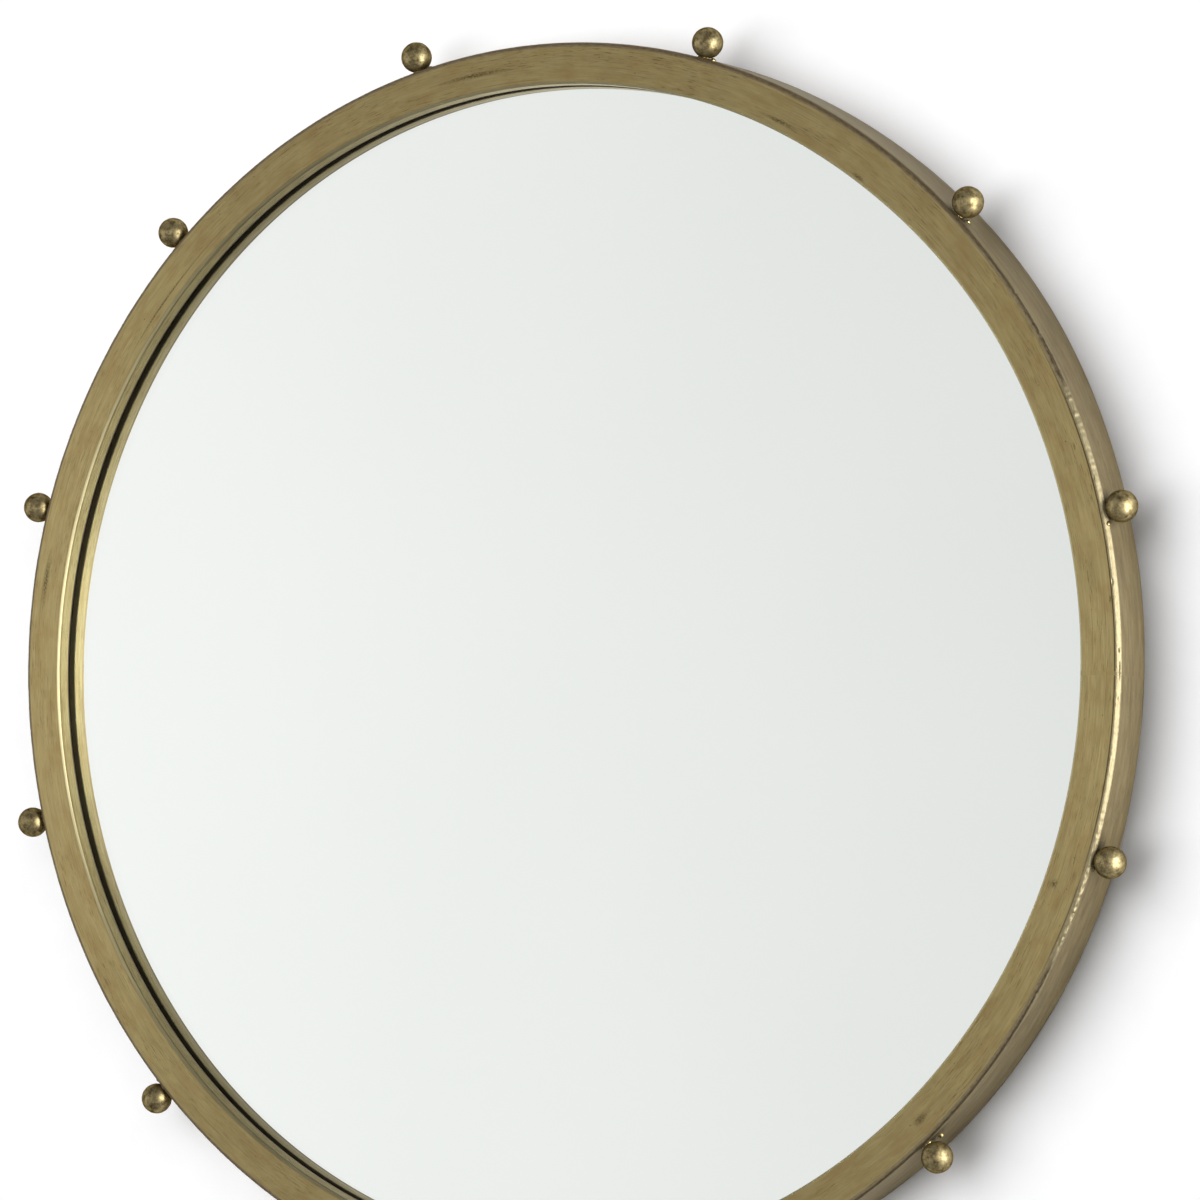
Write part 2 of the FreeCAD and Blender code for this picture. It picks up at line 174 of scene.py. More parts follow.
def rolled_ring(name, section_at, start, stop, steps, material):
    """A section (radius, depth), given for each angle, run round the mirror's axis between two angles,
    all the way round if they meet."""
    closed = abs(stop - start) >= 360
    section = section_at(start)
    count = len(section)
    runs = [0.0]
    for here, there in zip(section, section[1:] + section[:1]):
        runs.append(runs[-1] + math.dist(here, there) * MM)
    turns = [start + (stop - start) * step / steps for step in range(steps + 1)]
    stations = steps if closed else steps + 1
    points = []
    for turn in turns[:stations]:
        points += [ring_point(turn, radius, depth) for radius, depth in section_at(turn)]
    faces = []
    uvs = []
    for step in range(steps):
        first = step * count
        second = ((step + 1) % stations) * count
        begin, end = [math.radians(turn) * RING_RADIUS * MM for turn in turns[step:step + 2]]
        for side in range(count):
            after = (side + 1) % count
            faces.append((first + side, first + after, second + after, second + side))
            near, far = runs[side:side + 2]
            uvs += [(begin, near), (begin, far), (end, far), (end, near)]
    if not closed:
        faces.append(tuple(range(count - 1, -1, -1)))
        faces.append(tuple((stations - 1) * count + side for side in range(count)))
        flat = [(radius * MM, depth * MM) for radius, depth in section_at(stop)]
        uvs += flat[::-1] + flat
    return show(name, points, faces, "mirror", material, uvs=uvs)


def filed_bevel(first, last, crown, steps):
    """Points (radius, depth) across a bevel filed between two edges, standing proud by crown at its
    middle."""
    length = math.dist(first, last)
    along = ((last[0] - first[0]) / length, (last[1] - first[1]) / length)
    bevel = []
    for step in range(steps + 1):
        share = step / steps
        proud = crown * (1 - (2 * share - 1) ** 2)
        bevel.append((first[0] + along[0] * length * share + along[1] * proud,
                      first[1] + along[1] * length * share - along[0] * proud))
    return bevel


def aged_brass(name, plain, worn, brown, rough, grain=1.0, stains=(), edge=None, joint=None, corner=None,
               painted_left_light=0.0):
    """Brass plate, brushed along its run and darkened with acid: fine streaks along the ring, clouds of
    reddish brown left by the acid, clusters of dark scratches, a few black pits and single stains, which
    may also hold painted shade. So many mm along the section a pale eased edge ends, dirt fills a joint at
    the right-hand side, and everywhere else a corner is darkened with dirt and painted shade. The left-hand
    side may be painted paler, as painted light."""
    material, tree, shader = start_material(name)
    lengths = add_node(tree, "TexCoord", out="UV")

    def streaks(long, wide, low, high, least=0.0, most=1.0, detail=3.0):
        """Noise stretched along the bar, of a length and width in mm, as shares between least and most."""
        scaled = add_node(tree, "VectorMath", {0: lengths, 1: (1 / MM / long, 1 / MM / wide, 1.0)},
                          operation="MULTIPLY")
        cloud = add_node(tree, "TexNoise", {
            "Vector": scaled, "Scale": 1.0, "Detail": detail, "Roughness": 0.6})
        return add_node(tree, "MapRange", {0: cloud, 1: low, 2: high, 3: least, 4: most})

    def tinted(under, share, over):
        """A colour laid over another by a share."""
        return add_node(tree, "Mix", {0: share, 6: under, 7: linear(over)}, out=2, data_type="RGBA")

    # brushing is under 0.1 mm wide: drawn at 0.7 mm, so that it shows
    brushed = streaks(long=40, wide=0.7, low=0.3, high=0.7)
    wear = streaks(long=26 * grain, wide=3.5 * grain, low=0.38, high=0.62, detail=4.0)
    colour = tinted(linear(plain), wear, worn)
    clouds = streaks(long=22 * grain, wide=11 * grain, low=0.46, high=0.68, most=0.5, detail=5.0)
    colour = tinted(colour, clouds, brown)
    colour = tinted(colour, streaks(long=75, wide=1.1, low=0.6, high=0.72, most=0.5), DULL_STREAK)
    clusters = streaks(long=60, wide=12, low=0.4, high=0.62, detail=2.0)
    scratches = streaks(long=9, wide=0.7, low=0.54, high=0.66, most=0.65)
    scratched = add_node(tree, "Math", {0: clusters, 1: scratches}, operation="MULTIPLY")
    colour = tinted(colour, scratched, SCRATCH)
    colour = tinted(colour, streaks(long=2.4, wide=1.4, low=0.75, high=0.81, most=0.8, detail=1.0), PIT)
    for turn, across, long, wide in stains:
        middle = (math.radians(turn % 360) * RING_RADIUS * MM, across * MM, 0.0)
        aside = add_node(tree, "VectorMath", {0: lengths, 1: middle}, operation="SUBTRACT")
        aside = add_node(tree, "VectorMath", {0: aside, 1: (1 / MM / long, 1 / MM / wide, 1.0)},
                         operation="MULTIPLY")
        away = add_node(tree, "VectorMath", {0: aside}, out=1, operation="LENGTH")
        mark = add_node(tree, "MapRange", {0: away, 1: 1.0, 2: 0.2, 4: 0.85})
        ragged = streaks(long=1.6, wide=0.9, low=0.3, high=0.6)
        mark = add_node(tree, "Math", {0: mark, 1: ragged}, operation="MULTIPLY")
        colour = tinted(colour, mark, STAIN)
    run = add_node(tree, "SeparateXYZ", {0: lengths}).node.outputs
    turned = add_node(tree, "Math", {0: run[0], 1: RING_RADIUS * MM}, operation="DIVIDE")
    # from -1 at the left-hand side to 1 at the right
    sideways = add_node(tree, "Math", {0: turned}, operation="COSINE")
    finish = {"Metallic": 1.0, "Anisotropic": 0.5, "Anisotropic Rotation": 0.25}
    if edge:
        pale = add_node(tree, "MapRange", {0: run[1], 1: edge * MM, 2: (edge - 0.3) * MM, 4: 0.8})
        colour = tinted(colour, pale, PALE_EDGE)
    if joint:
        dirt_and_shade = add_node(tree, "MapRange", {0: run[1], 1: (joint - 0.4) * MM, 2: joint * MM})
        right = add_node(tree, "MapRange", {0: sideways, 1: 0.86, 2: 0.92, 4: 0.6})
        dirt_and_shade = add_node(tree, "Math", {0: dirt_and_shade, 1: right}, operation="MULTIPLY")
        colour = tinted(colour, dirt_and_shade, JOINT_DIRT)
    # dirt and painted shade: a dull dark band along the seam's round, away from the right-hand side
    if corner:
        beside = add_node(tree, "Math", {0: run[1], 1: corner * MM}, operation="SUBTRACT")
        beside = add_node(tree, "Math", {0: beside}, operation="ABSOLUTE")
        dirt_and_shade = add_node(tree, "MapRange", {0: beside, 1: 2.6 * MM, 2: 1.5 * MM})
        elsewhere = add_node(tree, "MapRange", {0: sideways, 1: 0.908, 2: 0.89, 4: 0.9})
        for share in (elsewhere, streaks(long=4, wide=1.2, low=0.35, high=0.6, least=0.6)):
            dirt_and_shade = add_node(tree, "Math", {0: dirt_and_shade, 1: share}, operation="MULTIPLY")
        colour = tinted(colour, dirt_and_shade, CORNER_DIRT_AND_SHADE)
        finish["Metallic"] = add_node(tree, "Math", {0: 1.0, 1: dirt_and_shade}, operation="SUBTRACT")
        finish["Specular IOR Level"] = 0.2
    shade = add_node(tree, "MapRange", {0: brushed, 3: 0.88, 4: 1.1})
    # painted light: the left-hand side is drawn paler, as if more light fell there
    if painted_left_light:
        painted_paler = add_node(tree, "MapRange", {0: sideways, 1: -0.6, 2: -0.95, 3: 1.0, 4: 1.0 + painted_left_light})
        shade = add_node(tree, "Math", {0: shade, 1: painted_paler}, operation="MULTIPLY")
    finish["Base Color"] = add_node(tree, "VectorMath", {0: colour, "Scale": shade}, operation="SCALE")
    finish["Roughness"] = add_node(tree, "MapRange", {0: brushed, 3: rough - 0.06, 4: rough + 0.08})
    finish["Normal"] = add_node(tree, "Bump", {"Height": brushed, "Strength": 0.25, "Distance": 0.1 * MM})
    finish["Tangent"] = add_node(tree, "Tangent", direction_type="UV_MAP", uv_map="lengths")
    fill(tree, shader, finish)
    return material


def past_weld(turn, above, below):
    """How far an angle is past a stretch about the closing weld, from 0 to 1: above and below it, the
    stretch in degrees and the degrees that it fades over."""
    off = (turn + 180) % 360 - 180
    stretch, fading = above if off > 0 else below
    return min(1.0, max(0.0, (abs(off) - stretch) / fading))


flat_start = FACE_INSIDE + EDGE_WIDTH
flat_stop = SEAM_RADIUS - GROOVE_WIDTH
front_line = filed_bevel((FACE_INSIDE, EDGE_DEPTH), (flat_start, 0.0), EDGE_CROWN, EDGE_STEPS)
for step in range(1, FACE_STEPS + 1):
    front_line.append((flat_start + (flat_stop - flat_start) * step / FACE_STEPS, 0.0))


def face_section(turn):
    """The face bar: its eased inner edge, its flat, and a groove where the filed part of the seam begins."""
    sunk = GROOVE_DEPTH * (1.0 - past_weld(turn, FILED_ABOVE, FILED_BELOW))
    groove = [(flat_stop + GROOVE_WALL, sunk), (SEAM_RADIUS, sunk)]
    return front_line + groove + [(SEAM_RADIUS, BAR_THICKNESS), (FACE_INSIDE, BAR_THICKNESS)]


face_joint = sum(math.dist(here, there) for here, there in zip(front_line, front_line[1:]))
# brushed and darkened brass: a soft olive gold sheen, drawn out across the brushing and clouded with brown
# its left-hand side is painted paler: painted light
brushed_brass = aged_brass("aged_brass_brushed", "99895E", "A39366", "8F764B", 0.42, joint=face_joint,
                           edge=math.hypot(EDGE_WIDTH, EDGE_DEPTH), stains=FACE_STAINS, painted_left_light=0.24)
face_ring = rolled_ring("face_ring_brushed", face_section, WELD_TURN, 360.0, RING_STEPS,
                        brushed_brass)
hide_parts("face_ring")


# Side band: a deep flat bar rolled to a hoop on its broad face, welded behind the face's rim.
# It has the same acid-darkened brass, greyer and smoother, with its back edge eased.
BAND_STEPS = 10
BAND_EASED = 0.6
BAND_BREAK = 0.2
BALL_COUNT = 12
BALL_STEP = 360.0 / BALL_COUNT
BALL_SETBACK = 5.6
FOOT_MARK_LENGTH = 11.0
FOOT_MARK_WIDTH = 8.0
band_flat = FRAME_DEPTH - BAND_EASED - BAR_THICKNESS
band_line = [(SEAM_RADIUS, BAR_THICKNESS)]
for step in range(BAND_STEPS + 1):
    band_line.append((RING_RADIUS, BAR_THICKNESS + band_flat * step / BAND_STEPS))
band_line += [(RING_RADIUS - BAND_BREAK, FRAME_DEPTH - BAND_BREAK), (RING_RADIUS - BAND_EASED, FRAME_DEPTH),
              (SEAM_RADIUS, FRAME_DEPTH)]


def all_round(shape):
    """A section, or a row of points, that is the same at every angle."""
    return lambda turn: shape


# the same brass where the brush hardly reached: a greyer, evener sheen, with a dark mark at each ball's foot
# that is heat stain and painted contact shade
# each mark is heat stain and painted shade under a ball
foot_stains_and_shade = [(BALL_STEP * (place + 0.5), BALL_SETBACK, FOOT_MARK_LENGTH, FOOT_MARK_WIDTH)
               for place in range(BALL_COUNT)]
band_brass = aged_brass("aged_brass_band", "807355", "8F8260", "7D694A", 0.46, stains=foot_stains_and_shade)
side_band = rolled_ring("side_band_rolled", all_round(band_line), WELD_TURN, 360.0, RING_STEPS,
                        band_brass)
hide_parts("side_band")


# Corner seam: braze metal run into the open corner between face and band, and filed to a bevel or a
# round. Handling rubs it bright at the right; small voids and file slips are left along it.
SEAM_STEPS = 2160
SEAM_LEAST = 1.1
SEAM_MOST = 2.1
SEAM_CROWN = 0.1
FLAT_POINTS = 4
BEVEL_POINTS = 9
# where the bevel turns to a round, as degrees above and below the closing weld and degrees of change
ROUND_ABOVE = (36.0, 10.0)
ROUND_BELOW = (75.0, 15.0)
# the seam's waves, as mm along it and degrees of tilt across, and how much the filing slips (a share of the
# bevel's width), is ragged and is pressed in (mm)
TAPER_WAVE = (4.0, 90.0)
SLIP_WAVE = (2.0, 90.0)
LONG_WAVE = (9.0, 40.0)
RAGGED_WAVE = (1.8, 22.0)
SLIP_LEAST = 0.12
SLIP_HUMPS = [(-20, 8, 0.5), (30, 7, 0.35)]
RAGGED_LEAST = 0.1
RAGGED_HUMPS = [(31, 8, 0.15), (-20, 7, 0.35)]
PRESSED = 0.1
# voids and nicks: angle, tilt from the face towards the band in degrees, length, width and depth in mm
SEAM_NICKS = [
    (2.2, 45, 0.9, 0.5, 1.1), (0.5, 54, 4.5, 0.3, 0.9), (-2.0, 42, 1.2, 0.3, 0.6),
    (8.2, 12, 1.2, 0.45, 0.9), (29.5, 40, 1.2, 0.6, 0.8), (31.2, 55, 0.8, 0.5, 0.9),
    (33.6, 35, 1.5, 0.5, 0.7), (35.5, 50, 1.0, 0.5, 0.8), (-24.0, 20, 1.3, 0.4, 0.7),
    (-29.0, 60, 1.0, 0.5, 0.6), (17.5, 15, 0.9, 0.4, 0.6), (-38.0, 45, 1.8, 0.5, 0.6),
    (38.5, 45, 1.6, 0.6, 0.7), (52.0, 40, 2.0, 0.5, 0.5), (75.0, 45, 1.5, 0.6, 0.6),
    (140.0, 45, 1.5, 0.6, 0.6), (205.0, 45, 1.8, 0.6, 0.6), (262.0, 45, 1.5, 0.6, 0.6)]
NICK_REACH = 4


def uneven(along, tilt, wave, seed):
    """Smooth unevenness between about -1 and 1, in waves of a length and a tilt."""
    return noise.noise(Vector((along / wave[0], tilt / wave[1], seed)))


def seam_section(turn):
    """The seam at an angle: filed to a wide bevel at the right, to a narrow one below it and to a round
    elsewhere, and pressed in by waves and nicks."""
    along = math.radians(turn) * RING_RADIUS
    rounded = past_weld(turn, ROUND_ABOVE, ROUND_BELOW)
    narrowed = past_weld(turn + uneven(along, 0.0, TAPER_WAVE, seed=5.0), FILED_ABOVE, FILED_BELOW)
    width = SEAM_MOST - (SEAM_MOST - SEAM_LEAST) * narrowed
    slips = SLIP_LEAST + humps(turn, SLIP_HUMPS)
    width *= 1 + slips * uneven(along, 0.0, SLIP_WAVE, seed=9.0)
    ragged = RAGGED_LEAST + humps(turn, RAGGED_HUMPS)
    flat = BAR_THICKNESS - width
    bevel = ((RING_RADIUS - width, 0.0), (RING_RADIUS, width))
    outline = [(SEAM_RADIUS + flat * step / FLAT_POINTS, 0.0) for step in range(FLAT_POINTS)]
    outline += filed_bevel(*bevel, SEAM_CROWN * width, BEVEL_POINTS)
    outline += [(RING_RADIUS, width + flat * step / FLAT_POINTS) for step in range(1, FLAT_POINTS + 1)]
    section = []
    for step, (radius, depth) in enumerate(outline):
        tilt = 0.5 * math.pi * step / (len(outline) - 1)
        round_radius = SEAM_RADIUS + BAR_THICKNESS * math.sin(tilt)
        round_depth = BAR_THICKNESS * (1 - math.cos(tilt))
        out = radius + (round_radius - radius) * rounded - SEAM_RADIUS
        fore = BAR_THICKNESS - depth - (round_depth - depth) * rounded
        tilt = math.degrees(math.atan2(out, fore))
        filed = 1.0 if FLAT_POINTS <= step <= FLAT_POINTS + BEVEL_POINTS else rounded
        fade = filed * math.sin(math.radians(2 * tilt))
        pressed = PRESSED * fade * (1 + uneven(along, tilt, LONG_WAVE, seed=3.0))
        pressed += ragged * fade * uneven(along, tilt, RAGGED_WAVE, seed=7.0)
        for nick_turn, nick_tilt, length, wide, deep in SEAM_NICKS:
            nick_off = math.radians((turn - nick_turn + 180) % 360 - 180) * RING_RADIUS
            if abs(nick_off) < NICK_REACH * length:
                side = math.radians(tilt - nick_tilt) * BAR_THICKNESS
                pressed += deep * math.exp(-(nick_off / length) ** 2 - (side / wide) ** 2)
        left = 1 - pressed / math.hypot(out, fore)
        section.append((SEAM_RADIUS + out * left, BAR_THICKNESS - fore * left))
    return section + [(SEAM_RADIUS, BAR_THICKNESS)]


seam_corner = BAR_THICKNESS - SEAM_MOST + 0.5 * math.hypot(SEAM_MOST, SEAM_MOST)
# filed braze metal: paler and greyer than the bars, a bright line where it is bare and a dark line of dirt
# and painted shade along its round
braze_metal = aged_brass("braze_metal_filed", "8A8063", "948A6E", "72664A", 0.54, grain=0.15,
                         corner=seam_corner)
corner_seam = rolled_ring("corner_seam_filed", seam_section, WELD_TURN, 360.0, SEAM_STEPS,
                          braze_metal)
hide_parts("corner_seam")


# Inner lip: a narrow strip bent to a hoop behind the face's inner edge, which the glass is pressed
# against. It is the same aged brass, drawn lighter and yellower: painted light on the inner wall.
LIP_BACK = 11.0
LIP_THICKNESS = 2.0
LIP_EASED = 0.4
LIP_STEPS = 6
lip_outer = FACE_INSIDE + LIP_THICKNESS
lip_low = LIP_BACK - LIP_EASED
lip_flat = lip_low - BAR_THICKNESS
lip_line = [(FACE_INSIDE, lip_low - lip_flat * step / LIP_STEPS) for step in range(LIP_STEPS + 1)]
lip_line += [(lip_outer, BAR_THICKNESS), (lip_outer, LIP_BACK), (FACE_INSIDE + LIP_EASED, LIP_BACK)]
# the same brass drawn lighter and yellower than the face, as painted light, and shinier
lip_brass_lightened = aged_brass("aged_brass_lip", "CDBB82", "D6C68E", "B59C66", 0.3)
inner_lip = rolled_ring("inner_lip_strip", all_round(lip_line), WELD_TURN, 360.0, RING_STEPS,
                        lip_brass_lightened)
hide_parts("inner_lip")


# Closing welds: where each bar's two ends meet, a short run of weld is ground flush, and the seam is
# stopped with braze metal. The ground metal stays a little darker and duller than the bars.
WELD_STEPS = 10
# the lip's weld takes the lip's lighter tones, which are painted light
for weld_name, weld_section, *weld_tones in (
        ("face_weld", face_section, "97875C", "A19164", "8D744A", 0.43),
        ("band_weld", all_round(band_line), "7E7154", "8D805F", "7B6749", 0.47),
        ("lip_weld", all_round(lip_line), "CAB880", "D3C38C", "B29964", 0.32)):
    weld_brass = aged_brass("aged_brass_" + weld_name, *weld_tones)
    weld = rolled_ring(weld_name + "_ground", weld_section, 0.0, WELD_TURN, WELD_STEPS,
                       weld_brass)
    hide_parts(weld_name)
seam_stop = rolled_ring("seam_stop_filed", seam_section, 0.0, WELD_TURN, WELD_STEPS * 2,
                        braze_metal)
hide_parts("seam_stop")


# Balls: twelve solid brass balls, each with a small flat ground where it is brazed to the band.
# The acid leaves them dark and mottled, and handling rubs them to a satin shine.
BALL_RADIUS = 9.525
BALL_FOOT = 2.6
BALL_AROUND = 72
BALL_DOWN = 44
SKIN_WAVES = 4.0
SKIN_HEIGHT = 0.06
PIT_WAVES = 9.0
PIT_START = 0.45
PIT_DEPTH = 0.5
SPECK_SIZE = 1.3


def mottled(name, spot, light, dark, rough, finish=None, detail=2.0, ragged=0.5, fade=None):
    """A material in two tones, which change over spots of a size in mm. Its roughness is one value, or goes
    with the spots from one range to another. Finish holds its main shader's other inputs."""
    material, tree, shader = start_material(name)
    place = add_node(tree, "TexCoord", out="Object")
    spots = add_node(tree, "TexNoise", {
        "Vector": place, "Scale": 1 / MM / spot, "Detail": detail, "Roughness": ragged})
    share = add_node(tree, "MapRange", {0: spots, 1: fade[0], 2: fade[1]}) if fade else spots
    colour = add_node(tree, "Mix", {0: share, 6: linear(light), 7: linear(dark)}, out=2, data_type="RGBA")
    if isinstance(rough, tuple):
        low, high, least, most = rough
        rough = add_node(tree, "MapRange", {0: spots, 1: low, 2: high, 3: least, 4: most})
    fill(tree, shader, {"Base Color": colour, "Roughness": rough, **(finish or {})})
    return material


def join_rows(faces, first, rows, around, ends="capped", flipped=False):
    """Faces between rows of points that each run once round. The first and last row are capped, looped
    together or left open; flipped faces look the other way."""
    for row in range(rows if ends == "looped" else rows - 1):
        here = first + row * around
        there = first + (row + 1) % rows * around
        for step in range(around):
            after = (step + 1) % around
            face = (here + step, there + step, there + after, here + after)
            faces.append(face[:1] + face[:0:-1] if flipped else face)
    if ends == "capped":
        last = first + (rows - 1) * around
        faces.append(tuple(range(first, first + around)))
        faces.append(tuple(range(last + around - 1, last - 1, -1)))


# solid brass, acid-darkened and rubbed: dark blotches and specks under a broad soft highlight
ball_finish = {"Metallic": 1.0, "Specular Tint": linear("6E5A3A")}
ball_brass = mottled("aged_brass_balls", 3.5, "A6986F", "594C33", (0.35, 0.7, 0.41, 0.57), ball_finish,
                     detail=5.0, ragged=0.7, fade=(0.38, 0.66))
ball_tree = ball_brass.node_tree
ball_shader = ball_tree.nodes["Principled BSDF"]
ball_place = add_node(ball_tree, "TexCoord", out="Object")
ball_speck = add_node(ball_tree, "TexNoise", {
    "Vector": ball_place, "Scale": 1 / MM / SPECK_SIZE, "Detail": 2.0, "Roughness": 0.6})
speck_share = add_node(ball_tree, "MapRange", {0: ball_speck, 1: 0.6, 2: 0.74, 4: 0.7})
blotch_colour = ball_shader.inputs["Base Color"].links[0].from_socket
ball_colour = add_node(ball_tree, "Mix", {0: speck_share, 6: blotch_colour, 7: linear("463A26")}, out=2,
                       data_type="RGBA")
ball_relief = add_node(ball_tree, "Bump", {"Height": ball_speck, "Strength": 0.3, "Distance": 0.1 * MM})
fill(ball_tree, ball_shader, {"Base Color": ball_colour, "Normal": ball_relief})
ball_names = sorted(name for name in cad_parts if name.startswith("ball_"))
ball_spots = []
foot_tilt = math.asin(BALL_FOOT / BALL_RADIUS)
wallward = Vector((0.0, 1.0, 0.0))
for place, ball_name in enumerate(ball_names):
    low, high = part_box(ball_name)
    middle = (low + high) / 2
    turn = math.atan2(middle.z, middle.x)
    outward = Vector((math.cos(turn), 0.0, math.sin(turn)))
    middle = outward * (RING_RADIUS + BALL_RADIUS) * MM + Vector((0.0, middle.y, 0.0))
    sideways = Vector((-math.sin(turn), 0.0, math.cos(turn)))
    ball_spots.append((middle, outward, sideways))
    points = [middle + outward * BALL_RADIUS * MM]
    for down in range(1, BALL_DOWN + 1):
        tilt = (math.pi - foot_tilt) * down / BALL_DOWN
        for around in range(BALL_AROUND):
            spin = 2 * math.pi * around / BALL_AROUND
            heading = outward * math.cos(tilt) + math.sin(tilt) * (
                sideways * math.cos(spin) + wallward * math.sin(spin))
            skin = noise.noise(heading * SKIN_WAVES + Vector((place * 3.7, 0.0, 0.0)))
            pits = noise.noise(heading * PIT_WAVES + Vector((0.0, place * 5.1, 0.0)))
            size = BALL_RADIUS - SKIN_HEIGHT + SKIN_HEIGHT * skin - PIT_DEPTH * max(0.0, pits - PIT_START)
            points.append(middle + heading * size * MM)
    faces = [(0, 1 + (around + 1) % BALL_AROUND, 1 + around) for around in range(BALL_AROUND)]
    join_rows(faces, 1, BALL_DOWN, BALL_AROUND, ends="open", flipped=True)
    faces.append(tuple(range(len(points) - BALL_AROUND, len(points))))
    ball = show(ball_name + "_mottled", points, faces, "mirror", ball_brass)
    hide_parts(ball_name)


# Braze beads: the run of braze metal that fixes each ball to the band, a lumpy fillet round its foot,
# and beside it on the band a bright drop that fell from the rod.
BEAD_AROUND = 56
BEAD_SECTION = [(3.7, 0.9), (3.75, 0.6), (3.9, 0.35), (4.15, 0.12), (4.5, -0.1), (4.5, -2.2)]
BEAD_LUMPS = 0.2
LUMP_WAVES = 2.5
FRONT_TRIM = 0.25
DROP_SECTION = [(0.5, 1.6), (1.1, 1.4), (1.65, 0.9), (1.9, 0.2), (1.9, -0.8)]
DROP_LUMPS = 0.12
# each ball's drop: how far beside the ball it lies and how far behind it, in mm
DROP_ASIDE = (8.3, 6.2, 4.5, 7.6, 6.6, 8.0, 6.0, 7.6, 8.6, 6.6, -7.7, 7.0)
DROP_BACK = (-3.0, 5.6, 4.0, 1.0, 2.0, 0.0, 1.0, 0.0, 2.0, 1.0, 7.0, 1.0)
DROP_SEED = 40
bead_points = []
bead_faces = []


def add_bead(section, foot, outward, sideways, lumpy, seed):
    """A closed lump on the band, turned about the way out from the ring's middle and made uneven."""
    first = len(bead_points)
    for reach, rise in section:
        for around in range(BEAD_AROUND):
            spin = 2 * math.pi * around / BEAD_AROUND
            heading = sideways * math.cos(spin) + wallward * math.sin(spin)
            lumps = noise.noise(heading * LUMP_WAVES + Vector((seed * 2.3, 0.0, 0.0)))
            size = reach * (1 + lumpy * lumps) - FRONT_TRIM * lumpy * reach * max(0.0, -heading.y) * reach
            bead_points.append(foot + (heading * size + outward * rise) * MM)
    join_rows(bead_faces, first, len(section), BEAD_AROUND)


for place, (middle, outward, sideways) in enumerate(ball_spots):
    foot = middle - outward * BALL_RADIUS * MM
    add_bead(BEAD_SECTION, foot, outward, sideways, BEAD_LUMPS, place)
    angle = DROP_ASIDE[place] / RING_RADIUS
    drop_outward = outward * math.cos(angle) - sideways * math.sin(angle)
    drop_foot = drop_outward * RING_RADIUS * MM + wallward * (foot.y + DROP_BACK[place] * MM)
    drop_sideways = sideways * math.cos(angle) + outward * math.sin(angle)
    add_bead(DROP_SECTION, drop_foot, drop_outward, drop_sideways, DROP_LUMPS, place + DROP_SEED)
# braze metal as it set: smooth, with bright glints between dull patches
braze_drop = mottled("braze_metal_bead", 2.0, "A3956B", "6A5B3C", (0.3, 0.7, 0.28, 0.45), {"Metallic": 1.0},
                     detail=3.0, ragged=0.6, fade=(0.4, 0.65))
beads = show("braze_beads_lumpy", bead_points, bead_faces, "mirror", braze_drop)
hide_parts("braze_beads")


# Glazing tape: a foam tape stuck round the back of the lip, on which the glass beds.
# It shows only as the thin line between the lip and the glass.
TAPE_WIDTH = 4.0
TAPE_BACK = 12.0
TAPE_SQUEEZE = 0.2
TAPE_STEPS = 720
tape_outer = FACE_INSIDE + TAPE_WIDTH
tape_line = [
    (FACE_INSIDE + TAPE_SQUEEZE, TAPE_BACK), (FACE_INSIDE, TAPE_BACK - TAPE_SQUEEZE),
    (FACE_INSIDE, LIP_BACK + TAPE_SQUEEZE), (FACE_INSIDE + TAPE_SQUEEZE, LIP_BACK),
    (tape_outer, LIP_BACK), (tape_outer, TAPE_BACK)]
# foam tape drawn a pale brownish grey, as painted light for the shaded gap between lip and glass: matt, with
# no shine
lightened_foam = mottled("foam_tape_lightened", 0.8, "958873", "AB9D83", 0.85)
tape = rolled_ring("glazing_tape_foam", all_round(tape_line), 0.0, 360.0, TAPE_STEPS,
                   lightened_foam)
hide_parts("glazing_tape")


# Mirror glass: 5 mm float glass with ground arrises, silvered on its back and bedded on the tape.
# The silver lies behind the thickness of the glass, which is faintly green.
GLASS_BACK = 16.95
GLASS_RADIUS = 361.0
GLASS_ARRIS = 0.8
GLASS_STEPS = 360
# float glass: clear and even, so that only its polish and a breath of green show
glass_finish = {"IOR": 1.52, "Transmission Weight": 1.0}
float_glass = mottled("float_glass", 300.0, "FBFDFB", "F9FBF9", 0.0, glass_finish, detail=1.0)
# silver laid on the glass: a mirror without haze
silver = mottled("silvering", 250.0, "FBFCFB", "F7F9F7", 0.0, {"Metallic": 1.0})
glass_rows = [(GLASS_RADIUS - GLASS_ARRIS, TAPE_BACK), (GLASS_RADIUS, TAPE_BACK + GLASS_ARRIS),
              (GLASS_RADIUS, GLASS_BACK - GLASS_ARRIS), (GLASS_RADIUS - GLASS_ARRIS, GLASS_BACK)]
glass_points = []
for radius, depth in glass_rows:
    for step in range(GLASS_STEPS):
        angle = 2 * math.pi * step / GLASS_STEPS
        out = radius * MM
        glass_points.append((out * math.cos(angle), (FRONT + depth) * MM, out * math.sin(angle)))
glass_faces = []
join_rows(glass_faces, 0, len(glass_rows), GLASS_STEPS)
glass = show("mirror_glass_silvered", glass_points, glass_faces, "mirror", float_glass)
glass.data.materials.append(silver)
glass.data.polygons[-1].material_index = 1
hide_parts("mirror_glass")


# Backing board: 9 mm wood fibre board cut to the glass's size, plain brown and slightly furry.
# The clips press it and the glass forward against the lip.
FIBRE_SIZE = 1.0
# pressed wood fibre: matt, in two close browns with a fine fleck
fibreboard = mottled("wood_fibreboard", 60.0, "A9855C", "94714B", 0.8, detail=3.0)
board_tree = fibreboard.node_tree
board_shader = board_tree.nodes["Principled BSDF"]
board_place = add_node(board_tree, "TexCoord", out="Object")
